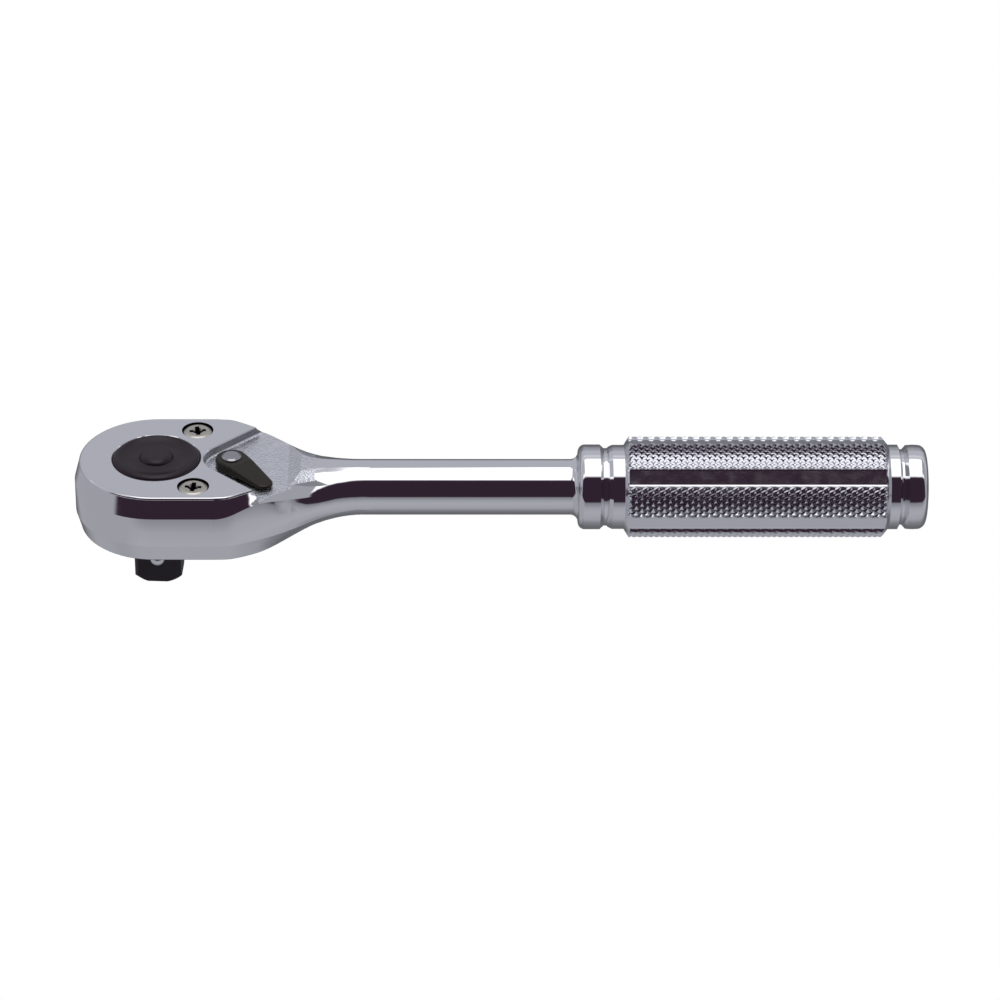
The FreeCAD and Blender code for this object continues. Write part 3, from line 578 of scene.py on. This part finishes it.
def crowned(places, normals):
    """Normals of the forging with the head's flat sides slightly crowned."""
    x, y, z = places[..., 0], places[..., 1], places[..., 2]
    outward = normals[..., 0] * x + normals[..., 1] * y > 0
    side = (z > SIDE_BAND[0]) & (z < SIDE_BAND[1]) & (x < CROWN_END)
    upright = outward & side & (np.abs(normals[..., 2]) < UPRIGHT)
    share = (z - CROWN_LOW) / (CROWN_HIGH - CROWN_LOW)
    fade = np.clip((CROWN_END - x) / CROWN_FADE, 0, 1)
    tilt = CROWN_LOW_TILT + (CROWN_HIGH_TILT - CROWN_LOW_TILT) * share
    lift = np.tan(np.radians(tilt) * fade)
    bent = normals.copy()
    bent[..., 2] += np.where(upright, lift, 0)
    return bent / np.linalg.norm(bent, axis=-1, keepdims=True)


def packed_forging():
    """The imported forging's points, and its triangles and corner normals off the grip."""
    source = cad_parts["ratchet_body"].data
    points = np.zeros(len(source.vertices) * 3)
    source.vertices.foreach_get("co", points)
    points = points.reshape(-1, 3)
    triangles = np.zeros(len(source.loops), np.int32)
    source.loops.foreach_get("vertex_index", triangles)
    triangles = triangles.reshape(-1, 3)
    normals = np.zeros(len(source.loops) * 3)
    source.corner_normals.foreach_get("vector", normals)
    normals = normals.reshape(-1, 3, 3)
    along = points[:, 0]
    on_grip = (along > CONE_START - SAME_STATION) & (along < CONE_END + SAME_STATION)
    keep = ~on_grip[triangles].all(axis=1)
    return points, triangles[keep], normals[keep]


def weld(points, triangles):
    """The used points with coinciding ones merged, and the triangles between them."""
    keys = {}
    merged = np.zeros(len(points), np.int64)
    places = []
    for index, point in enumerate(points):
        key = tuple(np.round(point / SAME_PLACE).astype(int))
        if key not in keys:
            keys[key] = len(places)
            places.append(tuple(point))
        merged[index] = keys[key]
    triangles = merged[triangles]
    used = np.unique(triangles)
    renumber = np.full(len(places), -1)
    renumber[used] = np.arange(len(used))
    return [places[i] for i in used], renumber[triangles]


def open_ring(places, station):
    """Points of the cut edge at a place along the handle."""
    flat = np.array(places)
    radial = np.hypot(flat[:, 1], flat[:, 2] - AXIS_HEIGHT)
    on_edge = (abs(flat[:, 0] - station) < SAME_STATION) & (radial > NECK_RADIUS)
    return [int(i) for i in np.where(on_edge)[0]]


def paint(mesh, plain, smooth):
    """Finishes and painted shade by region: plain faces come first, then smooth bands, then the
    knurl.
    """
    for polygon in mesh.polygons:
        polygon.use_smooth = polygon.index < smooth
        if not polygon.use_smooth:
            polygon.material_index = KNURL
        elif polygon.index < plain and in_pocket(polygon.center):
            # The recess floor gets the rough plating, its walls a darker copy of it: painted
            # shade.
            polygon.material_index = ROUGH if polygon.normal.z > 0.5 else RECESS_SIDE_SHADE
        elif polygon.index < plain and in_shaded_bore(polygon.center):
            # Bore and counterbore faces get painted shade.
            polygon.material_index = BORE_SHADE_SLOT
        else:
            polygon.material_index = CHROME


def forging(materials):
    """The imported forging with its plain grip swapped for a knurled, fluted one."""
    points, triangles, normals = packed_forging()
    normals = crowned(points[triangles], normals)
    places, triangles = weld(points, triangles)
    front = open_ring(places, CONE_START)
    rear = open_ring(places, CONE_END)
    grid = grip_grid()
    rings, columns = grid.shape[:2]
    offset = len(places)
    places += [tuple(p) for p in grid.reshape(-1, 3)]
    knurled = grid_triangles(rings, columns, offset)
    first = list(range(offset, offset + columns))
    last = list(range(offset + (rings - 1) * columns, offset + rings * columns))
    bands = band_triangles(places, front, first)
    bands += [tuple(reversed(face)) for face in band_triangles(places, rear, last)]
    whole = [len(set(face)) == 3 for face in triangles.tolist()]
    plain = [tuple(face) for face in triangles[whole].tolist()]
    mesh = bpy.data.meshes.new("ratchet_forging")
    mesh.from_pydata(places, [], plain + bands + knurled)
    for finish in FORGING_SURFACES_AND_SHADES:
        mesh.materials.append(materials[finish])
    paint(mesh, len(plain), len(plain) + len(bands))
    custom = np.zeros((len(mesh.loops), 3))
    custom[:len(plain) * 3] = normals[whole].reshape(-1, 3)
    mesh.normals_split_custom_set(custom.tolist())
    piece = bpy.data.objects.new("ratchet_forging", mesh)
    bpy.context.scene.collection.objects.link(piece)
    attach(piece, "handle")
    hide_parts("ratchet_body")


def button_coil(materials):
    """The button's coil, copied with its own mesh and carried with the drive."""
    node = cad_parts["button_spring"]
    piece = bpy.data.objects.new("button_coil", node.data.copy())
    bpy.context.scene.collection.objects.link(piece)
    piece.matrix_world = node.matrix_world.copy()
    piece.data.materials.clear()
    piece.data.materials.append(materials["spring_steel"])
    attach(piece, "drive")
    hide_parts("button_spring")
    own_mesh(piece)


def in_pocket(point):
    """Whether a face of the forging lies in the lever's recess."""
    if not POCKET_FLOOR < point.z < HEAD_TOP - LIP_MARGIN:
        return False
    along = point.x - LEVER_PIVOT
    if along < POCKET_LEFT or point.x > POCKET_END:
        return False
    if math.hypot(along, point.y) < POCKET_TIP:
        return True
    sideways = abs(point.y) * math.cos(POCKET_HALF_ANGLE)
    return sideways - along * math.sin(POCKET_HALF_ANGLE) < POCKET_TIP


def in_shaded_bore(point):
    """Whether a face of the forging lies in the button's bore or a screw's counterbore, where
    painted shade goes.
    """
    if not BORE_FLOOR < point.z < HEAD_TOP - LIP_MARGIN:
        return False
    from_screw = math.hypot(point.x - SCREW_PLACE[0], abs(point.y) - SCREW_PLACE[1])
    return math.hypot(point.x, point.y) < BORE_RADIUS or from_screw < COUNTERBORE


def main():
    bpy.context.scene.view_settings.view_transform = "Standard"
    studio_world()
    key_light()
    floor()
    camera()
    materials = all_materials()
    finish_nodes(materials)
    forging(materials)
    button_coil(materials)


main()
